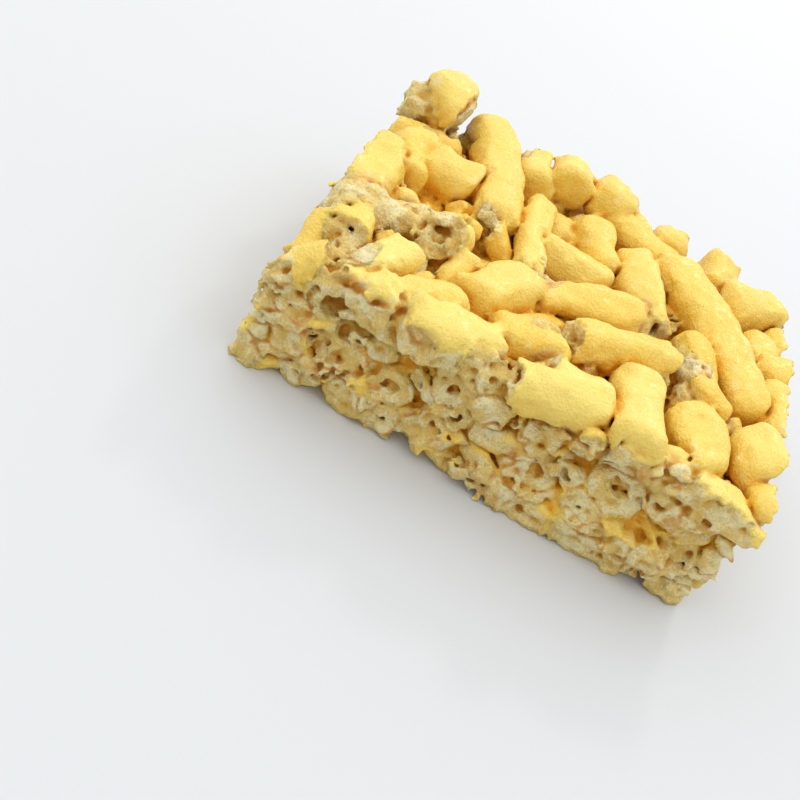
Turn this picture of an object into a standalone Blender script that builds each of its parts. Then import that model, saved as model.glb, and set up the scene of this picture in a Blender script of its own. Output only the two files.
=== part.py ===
"""A sachima: a bar of puffed dough strips, bound with syrup, pressed in layers and cut on four sides.

The bar lies flat. X runs along its length, Y across it and Z up, in metres, and the origin is at
the middle of its underside. Sizes below are in millimetres and are scaled when a mesh is made."""

import math
import random
from collections import namedtuple

import bmesh
import bpy
import numpy as np
from mathutils import Matrix, Vector

MM = 0.001

# The bar at its foot. Its four cuts lean in by KNIFE_LEAN over the height of KNIFE_TOP
LENGTH = 77.0
WIDTH = 61.0
KNIFE_TOP = 50.0
KNIFE_LEAN = 1.0
SEED = 7

# One strip of dough
STRIP_WIDTH = 7.4
STRIP_FLATNESS = 0.92
STRIP_LENGTHS = (26.0, 21.0, 17.0, 13.0, 10.0, 8.0)
SHORTEST_REACH = 1.0
SQUARENESS = 2.6
WOBBLE = 0.07
TOP_SIDES = 8
LOWER_SIDES = 6

# A strip's ends narrow over END_ROUNDING of its half width, and a long strip swells in its middle
END_ROUNDING = 0.45
END_SHARE = 0.62
SHOULDER_SHARE = 0.96
MIDDLE_SHARE = 1.04
LONG_STRIP = 2.2

# The layers under the top one, from the lowest up, and how their strips vary
LAYER_HEIGHTS = (3.0, 9.2, 15.4)
LAYER_UNEVENNESS = 0.5
LARGEST_TILT = 5.0
WIDTH_RANGE = (0.86, 1.12)
LENGTH_RANGE = (0.9, 1.1)
TRIES_PER_LENGTH = 320
PAST_THE_CUT = 5.0

# Neighbours are pressed into each other by up to PRESSED_IN. Heights count LAYER_STRETCH times in
# this, so that a layer may be pressed deeper into the one under it.
PRESSED_IN = 1.7
LAYER_STRETCH = 1.35

# The core that the strips are fused to
CORE_INSET = 2.0
CORE_BOTTOM = 1.0
CORE_TOP = 18.6
SHOWS_WITHIN = 4.5

Strip = namedtuple("Strip", "x y z heading tilt length width")

# The strips on top: middle X and Y, heading from +X in degrees, length, width, height of the top
TOP_STRIPS = (
    (-33, 26, 75, 12, 9, 30.5),
    (-38, 23, 10, 9, 7, 27),
    (-36, 28, 85, 12, 8, 25),
    (-33, 18, 20, 14, 7, 23.5),
    (-34.5, -7, 97, 28, 8.5, 25),
    (-32, 8, 100, 13, 7.5, 25),
    (-26, 9.5, -3, 11, 8.5, 25.5),
    (-25, 18, 5, 12, 7, 21),
    (-27.5, -10, 30, 13, 7, 24),
    (-20, -6.5, -30, 10, 9, 24.5),
    (-26.5, -22.5, 65, 11, 6.5, 24),
    (-26.5, -28, 5, 10, 7.5, 23.5),
    (-19, -24.5, 40, 16, 6, 23.5),
    (-10, -13.5, 62, 13, 9, 25),
    (-8.5, 5, 97, 24, 5.5, 24.5),
    (-1, 5, -5, 14, 8, 24.5),
    (2, 14.5, 115, 13, 7, 24.5),
    (-6, 17, 0, 12, 7, 21.5),
    (4, -3, 25, 24, 7, 24),
    (11, 9, 112, 19, 7.5, 25),
    (10.5, -10.5, 22, 17, 9.5, 26),
    (-2.5, -20.5, 20, 11, 8.5, 24.5),
    (-12, -27.3, 20, 16, 8, 23.8),
    (-21, -29, 0, 12, 6.5, 21),
    (5, -26.3, 18, 16, 8.5, 23.8),
    (16, -24.5, 95, 17, 8, 25),
    (23.5, -6, 105, 18, 8, 25.5),
    (26, -21, 112, 13, 8.5, 24.5),
    (24, -28, 10, 8, 6.5, 23),
    (32, -27.3, 0, 15, 7.5, 22.5),
    (8.5, 23, -30, 17, 8, 25.5),
    (25, 6.5, -57, 35, 8.8, 26),
    (36, -17, 115, 12, 9, 25),
    (31, 23, 30, 14, 9.5, 25.5),
    (24, 27, 90, 12, 7.5, 25),
    (34.5, 10, 102, 13, 6, 24),
    (38, 18.5, 90, 14, 7.5, 24),
    (38, 6.5, 20, 10, 7, 25),
    (38, -5, 95, 14, 7, 25),
    (38, -24, 95, 12, 7, 24),
    (-14, 26, 100, 12, 7.5, 25.5),
    (-7.5, 29, 95, 12, 8.5, 27.5),
    (1, 28.5, 95, 12, 9, 27.5),
    (13.5, 29, 90, 12, 8, 26.5),
)

# The long strip beside the tall corner, whose far end is raised: the tops of its two ends
RAISED_STRIP = ((-24, 30.5, 27), (-14, 2.5, 25))
RAISED_STRIP_WIDTH = 8.5

# The strip under the middle of the bar, which rests flat: middle X and Y, heading, length, width
RESTING_STRIP = (0, 0, 25, 18, 8)

# The strips whose sections show on the front cut: middle X and Z, heading, length and width
FRONT_STRIPS = (
    (-33, 14, 75, 12, 7),
    (-33, 7, 100, 12, 7.5),
    (-23, 9, 35, 14, 7),
    (-16, 9, 95, 12, 6.5),
    (-8, 14, 90, 14, 8),
    (-1, 15, 70, 13, 6.5),
    (2, 10, 10, 12, 6),
    (6, 15, 85, 12, 6.5),
    (9, 8, 60, 12, 7),
    (12, 16, 110, 12, 6),
    (16, 8, 95, 12, 6.5),
    (19, 14, 90, 14, 9),
    (27, 16, 55, 12, 7),
    (31, 9, 120, 12, 7),
)
FRONT_MIDDLE = 3.0

# Hollows on the front cut that no strip fills: middle X, Z and radius
FRONT_HOLLOWS = (
    (-14, 15, 3.0),
    (-26, 16, 2.5),
    (2, 18, 1.5),
    (24, 11, 3.0),
    (-12, 9, 1.5),
)


def direction(strip):
    """The unit vector along a strip's middle line."""
    heading = math.radians(strip.heading)
    tilt = math.radians(strip.tilt)
    flat = math.cos(tilt)
    return Vector((flat * math.cos(heading), flat * math.sin(heading), math.sin(tilt)))


def spine(strip):
    """Points along a strip's middle line, about 2 mm apart, that stop short of its ends."""
    reach = max(strip.length / 2 - strip.width / 2, SHORTEST_REACH)
    steps = np.linspace(-reach, reach, 2 + int(reach))
    middle = np.array((strip.x, strip.y, strip.z))
    points = middle + np.outer(steps, direction(strip))
    points[:, 2] *= LAYER_STRETCH
    return points


def fits(strip, placed):
    """True if a strip is pressed into no other by more than PRESSED_IN."""
    points = spine(strip)
    for other in placed:
        others = spine(other)
        gaps = np.linalg.norm(points[:, None] - others[None], axis=2)
        if gaps.min() < (strip.width + other.width) / 2 - PRESSED_IN:
            return False
    return True


def top_strips():
    """The strips on top, with the raised one last."""
    made = []
    for x, y, heading, length, width, top in TOP_STRIPS:
        made.append(Strip(x, y, top - width * STRIP_FLATNESS / 2, heading, 0, length, width))
    far, near = (Vector(end) for end in RAISED_STRIP)
    middle = (far + near) / 2
    along = near - far
    heading = math.degrees(math.atan2(along.y, along.x))
    tilt = math.degrees(math.asin(along.z / along.length))
    z = middle.z - RAISED_STRIP_WIDTH * STRIP_FLATNESS / 2
    made.append(Strip(middle.x, middle.y, z, heading, tilt, along.length, RAISED_STRIP_WIDTH))
    return made


def front_strips():
    """The strips that end on the front cut."""
    y = FRONT_MIDDLE - WIDTH / 2
    return [Strip(x, y, z, heading, 0, length, width) for x, z, heading, length, width in FRONT_STRIPS]


def resting_strip():
    """The strip in the lowest layer whose flat underside is at the origin."""
    x, y, heading, length, width = RESTING_STRIP
    return Strip(x, y, LAYER_HEIGHTS[0], heading, 0, length, width)


def in_front_hollow(strip):
    """True if a strip would fill one of the hollows that show on the front cut."""
    for x, z, radius in FRONT_HOLLOWS:
        middle = np.array((x, -WIDTH / 2, z * LAYER_STRETCH))
        if np.linalg.norm(spine(strip) - middle, axis=1).min() < strip.width / 2 + radius:
            return True
    return False


def scattered_strip(draw, height, length):
    """A strip drawn at random for one layer."""
    x = draw.uniform(-1, 1) * (LENGTH / 2 + PAST_THE_CUT)
    y = draw.uniform(-1, 1) * (WIDTH / 2 + PAST_THE_CUT)
    z = height + draw.uniform(-1, 1) * LAYER_UNEVENNESS
    width = STRIP_WIDTH * draw.uniform(*WIDTH_RANGE)
    heading = draw.uniform(0, 180)
    tilt = draw.uniform(-1, 1) * LARGEST_TILT
    return Strip(x, y, z, heading, tilt, length * draw.uniform(*LENGTH_RANGE), width)


def lower_strips(draw, shown):
    """The layers under the top one, filled at random round the strips that have places of their own."""
    made = []
    for height in LAYER_HEIGHTS:
        layer = []
        for length in STRIP_LENGTHS:
            for _ in range(TRIES_PER_LENGTH):
                strip = scattered_strip(draw, height, length)
                if fits(strip, layer) and fits(strip, shown) and not in_front_hollow(strip):
                    layer.append(strip)
        made.append(layer)
    return made


def nears_a_cut(strip):
    """True if a strip comes close enough to a side of the bar to show there."""
    points = spine(strip)
    beyond_x = np.abs(points[:, 0]) + strip.width / 2 > LENGTH / 2 - SHOWS_WITHIN
    beyond_y = np.abs(points[:, 1]) + strip.width / 2 > WIDTH / 2 - SHOWS_WITHIN
    return bool((beyond_x | beyond_y).any())


def section_point(angle, width):
    """One point of a strip's section, which is between a circle and a square."""
    across = math.cos(angle)
    up = math.sin(angle)
    reach = (abs(across) ** SQUARENESS + abs(up) ** SQUARENESS) ** (-1 / SQUARENESS)
    return Vector((across, up * STRIP_FLATNESS, 0)) * (reach * width / 2)


def strip_rings(strip):
    """Where a strip's rings stand along it, and how wide each is next to the strip."""
    end = strip.length / 2
    shoulder = end - END_ROUNDING * strip.width / 2
    rings = [(-end, END_SHARE), (-shoulder, SHOULDER_SHARE), (shoulder, SHOULDER_SHARE), (end, END_SHARE)]
    if strip.length > LONG_STRIP * strip.width:
        rings.insert(2, (0.0, MIDDLE_SHARE))
    return rings


def strip_mesh(strip, sides, draw):
    """A closed, uneven strip with few sides, one of them up and one down."""
    along = direction(strip)
    across = along.cross(Vector((0, 0, 1))).normalized()
    turn = Matrix((across, along.cross(across), along)).transposed()
    shape = bmesh.new()
    rings = []
    for place, share in strip_rings(strip):
        wobble = Vector((draw.uniform(-1, 1), draw.uniform(-1, 1), 0)) * (WOBBLE * strip.width)
        ring = []
        for k in range(sides):
            angle = math.pi / 2 + 2 * math.pi * (k + 0.5) / sides
            point = section_point(angle, strip.width) * share
            point *= 1 + draw.uniform(-WOBBLE, WOBBLE) / 2
            point = Vector((strip.x, strip.y, strip.z)) + turn @ (point + wobble + Vector((0, 0, place)))
            ring.append(shape.verts.new(point * MM))
        rings.append(ring)
    for first, second in zip(rings, rings[1:]):
        for k in range(sides):
            shape.faces.new((first[k - 1], first[k], second[k], second[k - 1]))
    shape.faces.new(reversed(rings[0]))
    shape.faces.new(rings[-1])
    bmesh.ops.recalc_face_normals(shape, faces=shape.faces)
    return finished_mesh(shape, "strip")


def finished_mesh(shape, name):
    """A mesh from a bmesh, which is freed."""
    mesh = bpy.data.meshes.new(name)
    shape.to_mesh(mesh)
    shape.free()
    return mesh


def block_mesh(low, high, lean=0.0):
    """A block between two corners, whose sides lean in by as much from its bottom to its top."""
    shape = bmesh.new()
    bmesh.ops.create_cube(shape, size=1)
    size = Vector(high) - Vector(low)
    middle = (Vector(high) + Vector(low)) / 2
    for vert in shape.verts:
        narrow = Vector((1 if vert.co.x < 0 else -1, 1 if vert.co.y < 0 else -1, 0))
        inward = narrow * lean * (vert.co.z + 0.5)
        vert.co = (Vector(a * b for a, b in zip(vert.co, size)) + middle + inward) * MM
    return finished_mesh(shape, "block")


def add_object(name, mesh, collection):
    """An object with a mesh, in a collection."""
    made = bpy.data.objects.new(name, mesh)
    collection.objects.link(made)
    return made


def apply_boolean(bar, operation, other):
    """Applies a Boolean with an object or a collection, and splits the faces into triangles."""
    change = bar.modifiers.new("change", "BOOLEAN")
    change.operation = operation
    change.solver = "EXACT"
    if isinstance(other, bpy.types.Collection):
        change.operand_type = "COLLECTION"
        change.collection = other
    else:
        change.object = other
    bpy.context.view_layer.update()
    evaluated = bar.evaluated_get(bpy.context.evaluated_depsgraph_get())
    mesh = bpy.data.meshes.new_from_object(evaluated)
    shape = bmesh.new()
    shape.from_mesh(mesh)
    bmesh.ops.triangulate(shape, faces=shape.faces)
    shape.to_mesh(mesh)
    shape.free()
    bar.modifiers.clear()
    bar.data = mesh


def join_strips(bar, strips):
    """Fuses the strips in a collection to the core."""
    apply_boolean(bar, "UNION", strips)
    for piece in list(strips.objects):
        bpy.data.objects.remove(piece)
    bpy.data.collections.remove(strips)


def cut_sides(bar):
    """Cuts the four sides, and presses the underside flat."""
    low = (-LENGTH / 2, -WIDTH / 2, 0)
    high = (LENGTH / 2, WIDTH / 2, KNIFE_TOP)
    knife = add_object("knife", block_mesh(low, high, KNIFE_LEAN), bpy.context.scene.collection)
    apply_boolean(bar, "INTERSECT", knife)
    bpy.data.objects.remove(knife)


def shells(shape):
    """The separate closed shells of a mesh, as lists of faces."""
    left = set(shape.faces)
    found = []
    while left:
        waiting = [left.pop()]
        shell = []
        while waiting:
            face = waiting.pop()
            shell.append(face)
            for edge in face.edges:
                for other in edge.link_faces:
                    if other in left:
                        left.remove(other)
                        waiting.append(other)
        found.append(shell)
    return found


def keep_largest_shell(mesh):
    """Fills the hollows that fusing sealed, and drops loose scraps."""
    shape = bmesh.new()
    shape.from_mesh(mesh)
    found = sorted(shells(shape), key=len)
    for shell in found[:-1]:
        bmesh.ops.delete(shape, geom=shell, context="FACES")
    shape.to_mesh(mesh)
    shape.free()


def dough_material():
    """Fried dough with a coat of syrup."""
    material = bpy.data.materials.new("glazed dough")
    material.use_nodes = True
    shader = material.node_tree.nodes["Principled BSDF"]
    shader.inputs["Base Color"].default_value = (0.86, 0.56, 0.16, 1)
    shader.inputs["Roughness"].default_value = 0.4
    shader.inputs["Metallic"].default_value = 0.0
    shader.inputs["Subsurface Weight"].default_value = 0.2
    return material


def clear_scene():
    """Removes the objects that the scene starts with."""
    for made in list(bpy.data.objects):
        bpy.data.objects.remove(made)


def main():
    clear_scene()
    draw = random.Random(SEED)
    top = top_strips()
    lower = front_strips() + [resting_strip()]
    low, *middle = lower_strips(draw, top + lower)
    strips = bpy.data.collections.new("strips")
    bpy.context.scene.collection.children.link(strips)
    for strip in top:
        add_object("strip", strip_mesh(strip, TOP_SIDES, draw), strips)
    for strip in lower + low + [s for layer in middle for s in layer if nears_a_cut(s)]:
        add_object("strip", strip_mesh(strip, LOWER_SIDES, draw), strips)
    core_low = (CORE_INSET - LENGTH / 2, CORE_INSET - WIDTH / 2, CORE_BOTTOM)
    core_high = (LENGTH / 2 - CORE_INSET, WIDTH / 2 - CORE_INSET, CORE_TOP)
    bar = add_object("sachima_bar", block_mesh(core_low, core_high), bpy.context.scene.collection)
    join_strips(bar, strips)
    cut_sides(bar)
    keep_largest_shell(bar.data)
    bar.data.materials.clear()
    bar.data.materials.append(dough_material())
    bar.data.shade_flat()


main()
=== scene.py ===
"""The looks of a sachima: a bar of puffed dough strips, bound with syrup and cut on four sides.

The strips are laid as in the solid that they replace. They are fused in a field of distances, cut by
four knives and turned into meshes. Sizes are in millimetres and are scaled when a mesh is made."""

import math
import random
from collections import namedtuple

import bpy
import numpy as np
from mathutils import Matrix, Vector


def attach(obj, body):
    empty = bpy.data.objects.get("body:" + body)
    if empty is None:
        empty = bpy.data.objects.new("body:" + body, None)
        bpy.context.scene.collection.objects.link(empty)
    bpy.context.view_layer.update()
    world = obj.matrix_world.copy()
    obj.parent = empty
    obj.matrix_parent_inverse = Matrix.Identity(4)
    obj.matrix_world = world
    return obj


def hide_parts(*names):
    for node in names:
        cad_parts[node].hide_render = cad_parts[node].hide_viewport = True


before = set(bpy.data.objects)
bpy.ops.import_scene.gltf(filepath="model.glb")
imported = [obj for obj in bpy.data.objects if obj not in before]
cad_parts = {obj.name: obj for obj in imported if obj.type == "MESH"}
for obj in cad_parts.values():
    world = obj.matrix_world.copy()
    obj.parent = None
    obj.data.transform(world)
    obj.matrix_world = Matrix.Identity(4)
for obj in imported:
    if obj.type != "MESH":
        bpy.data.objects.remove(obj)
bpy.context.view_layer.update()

MM = 0.001
NODE = "sachima_bar"

# The bar at its foot. Its four cuts lean in by KNIFE_LEAN over the height of KNIFE_TOP.
LENGTH = 77.0
WIDTH = 61.0
KNIFE_TOP = 50.0
KNIFE_LEAN = 1.0

# The seeds of the layout and of the noise, of which each field takes the next few too
SEED = 7
SKIN_SEED = 11
CUT_SEED = 21
UNDERSIDE_SEED = 31
SPONGE_SEED = 41
CRUMB_SEED = 51

# One strip of dough
STRIP_WIDTH = 7.4
STRIP_FLATNESS = 0.92
STRIP_LENGTHS = (26.0, 21.0, 17.0, 13.0, 10.0, 8.0)
SHORTEST_REACH = 1.0
SQUARENESS = 2.7

# The layers under the top one, from the lowest up, and how their strips vary
LAYER_HEIGHTS = (3.0, 9.2, 15.4)
LAYER_UNEVENNESS = 0.5
LARGEST_TILT = 5.0
WIDTH_RANGE = (0.86, 1.12)
LENGTH_RANGE = (0.9, 1.1)
TRIES_PER_LENGTH = 320
PAST_THE_CUT = 5.0

# Neighbours are pressed into each other by up to PRESSED_IN. Heights count LAYER_STRETCH times in
# this, so that a layer may be pressed deeper into the one under it.
PRESSED_IN = 1.7
LAYER_STRETCH = 1.35

Strip = namedtuple("Strip", "x y z heading tilt length width")

# The strips on top: middle X and Y, heading from +X in degrees, length, width, height of the top, and
# its looks. Torn ends show crumb, and a bare strip shows it all over. An uncut strip was pushed aside
# by the knife, and the first end of a raised one points up.
TOP_STRIPS = (
    (-33, 26, 75, 12, 9, 30.5, ""),
    (-38, 23, 10, 9, 7, 27, "bare uncut"),
    (-36, 28, 85, 12, 8, 25, ""),
    (-33, 18, 20, 14, 7, 23.5, ""),
    (-34.5, -7, 97, 28, 8.5, 25, "torn-first"),
    (-32, 8, 100, 13, 7.5, 25, ""),
    (-26, 9.5, -3, 11, 8.5, 25.5, ""),
    (-25, 18, 5, 12, 7, 21, "dark"),
    (-28.5, -9.5, 30, 11, 6.5, 24, "bare"),
    (-20.5, -7, 80, 10, 8.5, 24.5, "torn-first ring raised"),
    (-26.5, -22.5, 65, 11, 6.5, 24, "torn-last pale"),
    (-26.5, -28, 5, 10, 7.5, 23.5, "pale torn-last"),
    (-19, -24.5, 40, 16, 6, 23.5, ""),
    (-10, -13.5, 62, 13, 8.6, 25, "torn-last"),
    (-8.5, 5, 97, 24, 5.5, 24.5, ""),
    (-1, 5, -5, 14, 8, 24.5, ""),
    (2, 14.5, 115, 13, 7, 24.5, ""),
    (-6, 17, 0, 12, 7, 21.5, ""),
    (4, -3, 25, 24, 7, 24, ""),
    (11, 9, 112, 19, 7.5, 25, "torn-first"),
    (10.5, -11, 22, 17, 8.4, 25.6, "torn-first torn-last"),
    (-2.5, -20.5, 20, 11, 8.5, 24.5, "dark"),
    (-12, -27.3, 20, 16, 8, 23.8, "pale uncut"),
    (-21, -29, 0, 12, 6.5, 21, "bare"),
    (5, -26.3, 18, 16, 8.5, 23.8, "pale uncut torn-first"),
    (16, -22.4, 98, 17, 7.6, 25, "pale uncut solid"),
    (23.5, -6, 105, 18, 7.6, 25.3, "dark"),
    (26, -21, 112, 13, 8.5, 24.5, "torn-last"),
    (23.7, -26.8, 10, 7, 4.8, 22.8, "pale uncut solid"),
    (30, -28, -2, 19, 7.5, 22.3, "pale torn-first uncut"),
    (8.5, 23, -30, 17, 8, 25.5, ""),
    (25, 6.5, -57, 35, 8.8, 26, ""),
    (36, -17, 115, 12, 9, 25, ""),
    (31, 23, 30, 14, 9.5, 25.5, ""),
    (24, 27, 90, 12, 7.5, 25, ""),
    (34.5, 10, 102, 13, 6, 24, ""),
    (38, 18.5, 90, 14, 7.5, 24, ""),
    (38, 6.5, 20, 10, 7, 25, ""),
    (38, -5, 95, 14, 7, 25, ""),
    (38, -24, 95, 12, 7, 24, ""),
    (-14, 26, 100, 12, 7.5, 25.5, ""),
    (-7.5, 29, 95, 12, 8.5, 27.5, ""),
    (1, 28.5, 95, 12, 9, 27.5, ""),
    (13.5, 29, 90, 12, 8, 26.5, ""),
)

# The tilt of a strip that is marked as raised
UPENDED = -40.0

# The long strip beside the tall corner, whose far end is raised: the tops of its two ends
RAISED_STRIP = ((-24, 30.5, 27), (-14, 2.5, 25))
RAISED_STRIP_WIDTH = 8.5

# The strip under the middle of the bar, which rests flat: middle X and Y, heading, length, width
RESTING_STRIP = (0, 0, 25, 18, 8)

# The strips whose sections show on the front cut: middle X and Z, heading, length, width and looks,
# of which a ring is hollow
FRONT_STRIPS = (
    (-33, 14, 75, 12, 7, ""),
    (-33, 7, 100, 12, 7.5, ""),
    (-23, 9, 35, 14, 7, ""),
    (-16, 9, 95, 12, 6.5, "ring"),
    (-8, 14, 90, 14, 8, "ring"),
    (-1, 15, 70, 13, 6.5, ""),
    (2, 10, 10, 12, 6, ""),
    (6, 15, 85, 12, 6.5, ""),
    (9, 8, 60, 12, 7, ""),
    (12, 16, 110, 12, 6, ""),
    (16, 8, 95, 12, 6.5, "ring"),
    (19, 14, 90, 14, 9, "ring"),
    (27, 16, 55, 12, 7, ""),
    (31, 9, 120, 12, 7, ""),
)
FRONT_MIDDLE = 3.0

# Hollows on the front cut that no strip fills: middle X, Z and radius
FRONT_HOLLOWS = (
    (-14, 15, 3.0),
    (-26, 16, 2.5),
    (2, 18, 1.5),
    (24, 11, 3.0),
    (-12, 9, 1.5),
)

# The grid of distances
VOXEL = 0.3
MARGIN = 2.4
HEIGHT = 31.6
FAR = 3.0

# The core under the strips, which is rougher than a cut
CORE_INSET = 2.4
CORE_BOTTOM = 1.2
CORE_TOP = 18.0
CORE_ROUGHNESS = 0.8
CORE_LUMPS = 1.5

# How far strips run into each other in a fillet of syrup, and how blunt a cut edge is
FILLET = 0.9
CUT_BLUNTNESS = 0.35

# A strip's ends, whole and torn
END_ROUNDING = (0.35, 0.8)
END_SLANT = 0.3
END_ROUGHNESS = 0.6
TORN_ROUNDING = 0.3
TORN_ROUGHNESS = 1.5

# How deep the surface of a bare strip counts, and how far the knife pushes an uncut one aside
BARE_DEPTH = 1.4
PUSHED_ASIDE = 1.4

# A strip's bend for each millimetre of length, and the square of the share of its half length at which
# it crosses its straight line. Its swell and taper are shares of its width, its twist is in radians.
BEND = 0.04
LARGEST_SAG = 0.5
BEND_CROSSES = 0.3
SWELL = 0.07
SWELL_WAVES = (2, 4)
SWELL_STARTS = (0, 6)
TAPER = 0.09
LARGEST_TWIST = 0.5
LUMP_ROOM = 0.8

# Lumps on the dough: distance between lumps and their height
SKIN_LUMPS = ((6.0, 0.36), (2.6, 0.28), (1.3, 0.18), (0.75, 0.11))
CUT_LUMPS = ((4.0, 0.40), (1.6, 0.34), (0.8, 0.44), (0.55, 0.24))
UNDERSIDE_LUMPS = ((5.0, 0.12), (1.5, 0.08))

# Each strip breaks off a little before or after the knife
BREAKS_OFF = 1.0

# Strips that are hollow where they are cut
HOLLOW_SHARE = 0.32
HOLLOW_RADIUS = (0.5, 1.2)
HOLLOW_DEPTH = 1.5
HOLLOW_UNEVENNESS = 0.5

# Bubbles in the crumb that a cut opens: how many for each square millimetre, of which as many grid
# points are at the surface as POINTS_PER_SQUARE, and their form, which is small more often than large
BUBBLES_PER_MM2 = 0.04
POINTS_PER_SQUARE = 1.6
BUBBLES_UNDER_SKIN = 0.75
BUBBLE_RADIUS = (0.35, 0.8)
BUBBLE_SMALLNESS = 2
BUBBLE_SHIFT = 0.2
BUBBLE_SQUASH = (0.75, 1.3)
BUBBLE_BLUNTNESS = 0.15
BUBBLE_ROOM = 0.5

# The sponge of bare crumb: distance between its pores, how rare they are, and their depth
SPONGE = ((2.3, 0.3, 0.55), (1.2, 0.12, 0.5), (0.75, -0.3, 0.46))
SPONGE_STARTS = 0.3
SPONGE_FULL = 1.0

# Crumbs on top of the bar: middle X and Y of a group, how far it is spread, and their number
CRUMB_GROUPS = (
    (1.5, -12, 2.5, 9),
    (19, -13, 4.5, 26),
    (-22, -19, 3, 8),
    (-14, -5, 3, 6),
    (29, -14, 3, 8),
    (-30, -2, 3, 8),
    (-27, -25, 5, 14),
    (16, 4, 3, 5),
    (-30, 22, 4, 7),
)

# Crumbs along the edges, how far in they lie, and how far from a corner
EDGE_CRUMBS = 60
EDGE_SPREAD = 2.2
EDGE_INSET = 0.5
OFF_CORNER = 2

# Each crumb takes the lowest of some places, and stays only if it lies lower than what is round it
CRUMB_TRIES = 8
CRUMB_LOOKS_ROUND = 2.4
CRUMB_SINKS = 0.6

# A crumb's form, and how deep its surface counts, so that it has the colour of crumb
CRUMB_RADIUS = (0.25, 0.75)
CRUMB_SMALLNESS = 1.8
CRUMB_SQUASH = (0.7, 1.25)
CRUMB_LUMP = 0.9
CRUMB_ROUGHNESS = 1.5
CRUMB_LIFT = 0.35
CRUMB_ROOM = 1
CRUMB_DEPTH = 1.2
CRUMB_COLOURS = 0.25

# The groove and the line of syrup where two strips meet. Its depth goes with the lumps of a cut.
SEAM_WIDTH = 1.1
GROOVE_DEPTH = 0.8
GROOVE_EVEN = 0.6
GROOVE_VARIES = 1.2
GROOVE_MOST = 1.4

# Scraps of dough that fill gaps on the cuts
SCRAP_WIDTHS = (6.2, 5.4, 4.6, 3.8, 3.0)
SCRAP_TRIES = 900
SCRAP_INSET = (0.6, 2.2)
SCRAP_LENGTHS = (1.2, 2.2)
SCRAP_TILT = 40.0
SCRAP_TOP = 19.0
SCRAP_PRESSED_IN = 1.9
TOP_SCRAP_WIDTHS = (5.2, 4.4, 3.6)
TOP_SCRAP_TRIES = 150
TOP_SCRAP_Z = (16.5, 20.5)
TOP_SCRAP_LOOKS = ("", "torn-first", "dark", "torn-last dark")

# The skin gives way to crumb between these depths
CRUMB_STARTS = 0.25
CRUMB_FULL = 0.8

# How far round a point the dough is felt, to find creases and wider recesses, which the material darkens as
# painted shade
CREASE_REACH = 1.3
RECESS_REACH = 3.6

# How pale strips are, from 0 to 1, and how much paler or darker those are that are marked so
TINT_RANGE = (0.0, 0.55)
PALER = 0.6
DARKER = 0.9

# Painted shade: the sides and undersides of the strips are given a warmer colour, from this slope on and over
# this range
SIDE_SHADE_STARTS = 0.85
SIDE_SHADE_REACH = 1.4

# The pieces, and the planes between them where no strip is near
CUTS = ("cut_front", "cut_back", "cut_left", "cut_right")
PIECES = ("strips_left", "strips_middle", "strips_right", *CUTS, "underside_left", "underside_right")
UNDERSIDE_Z = 4.0
TOP_Z = 14.0
THIRD = 12.0

# Walls hidden in the dough are made coarse: the side of a block in grid steps, and the least depth.
# So is the surface, in blocks of SURFACE_BLOCK, where its normals average to a length over EVEN_GROUND,
# and where they point down or back, over EVEN_UNSEEN.
COARSE_BLOCKS = ((2, 0.75), (4, 1.3), (8, 2.4))
SURFACE_BLOCK = 2
EVEN_GROUND = 0.988
EVEN_UNSEEN = 0.95
POINTS_DOWN = -0.5
POINTS_BACK = 0.6

# More blocks than lie along any axis of the grid
MOST_BLOCKS = 1000

# The step over which a normal is measured, as a share of the grid's, and the cosine of the largest
# angle between a normal from the distances and that of the faces
NORMAL_STEP = 0.7
LEAST_AGREEMENT = 0.6


def direction(strip):
    """The unit vector along a strip's middle line."""
    heading = math.radians(strip.heading)
    tilt = math.radians(strip.tilt)
    flat = math.cos(tilt)
    return Vector((flat * math.cos(heading), flat * math.sin(heading), math.sin(tilt)))


def spine(strip):
    """Points along a strip's middle line, about 2 mm apart, that stop short of its ends."""
    reach = max(strip.length / 2 - strip.width / 2, SHORTEST_REACH)
    steps = np.linspace(-reach, reach, 2 + int(reach))
    middle = np.array((strip.x, strip.y, strip.z))
    points = middle + np.outer(steps, direction(strip))
    points[:, 2] *= LAYER_STRETCH
    return points


def fits(strip, placed):
    """True if a strip is pressed into no other by more than PRESSED_IN."""
    points = spine(strip)
    for other in placed:
        others = spine(other)
        gaps = np.linalg.norm(points[:, None] - others[None], axis=2)
        if gaps.min() < (strip.width + other.width) / 2 - PRESSED_IN:
            return False
    return True


def top_strips():
    """The strips on top, with the raised one last."""
    made = []
    for x, y, heading, length, width, top, looks in TOP_STRIPS:
        tilt = UPENDED if "raised" in looks else 0
        made.append(Strip(x, y, top - width * STRIP_FLATNESS / 2, heading, tilt, length, width))
    far, near = (Vector(end) for end in RAISED_STRIP)
    middle = (far + near) / 2
    along = near - far
    heading = math.degrees(math.atan2(along.y, along.x))
    tilt = math.degrees(math.asin(along.z / along.length))
    z = middle.z - RAISED_STRIP_WIDTH * STRIP_FLATNESS / 2
    made.append(Strip(middle.x, middle.y, z, heading, tilt, along.length, RAISED_STRIP_WIDTH))
    return made


def front_strips():
    """The strips that end on the front cut."""
    y = FRONT_MIDDLE - WIDTH / 2
    return [Strip(x, y, z, heading, 0, length, width) for x, z, heading, length, width, _ in FRONT_STRIPS]


def resting_strip():
    """The strip in the lowest layer whose flat underside is at the origin."""
    x, y, heading, length, width = RESTING_STRIP
    return Strip(x, y, LAYER_HEIGHTS[0], heading, 0, length, width)


def in_front_hollow(strip):
    """True if a strip would fill one of the hollows that show on the front cut."""
    for x, z, radius in FRONT_HOLLOWS:
        middle = np.array((x, -WIDTH / 2, z * LAYER_STRETCH))
        if np.linalg.norm(spine(strip) - middle, axis=1).min() < strip.width / 2 + radius:
            return True
    return False


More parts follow.
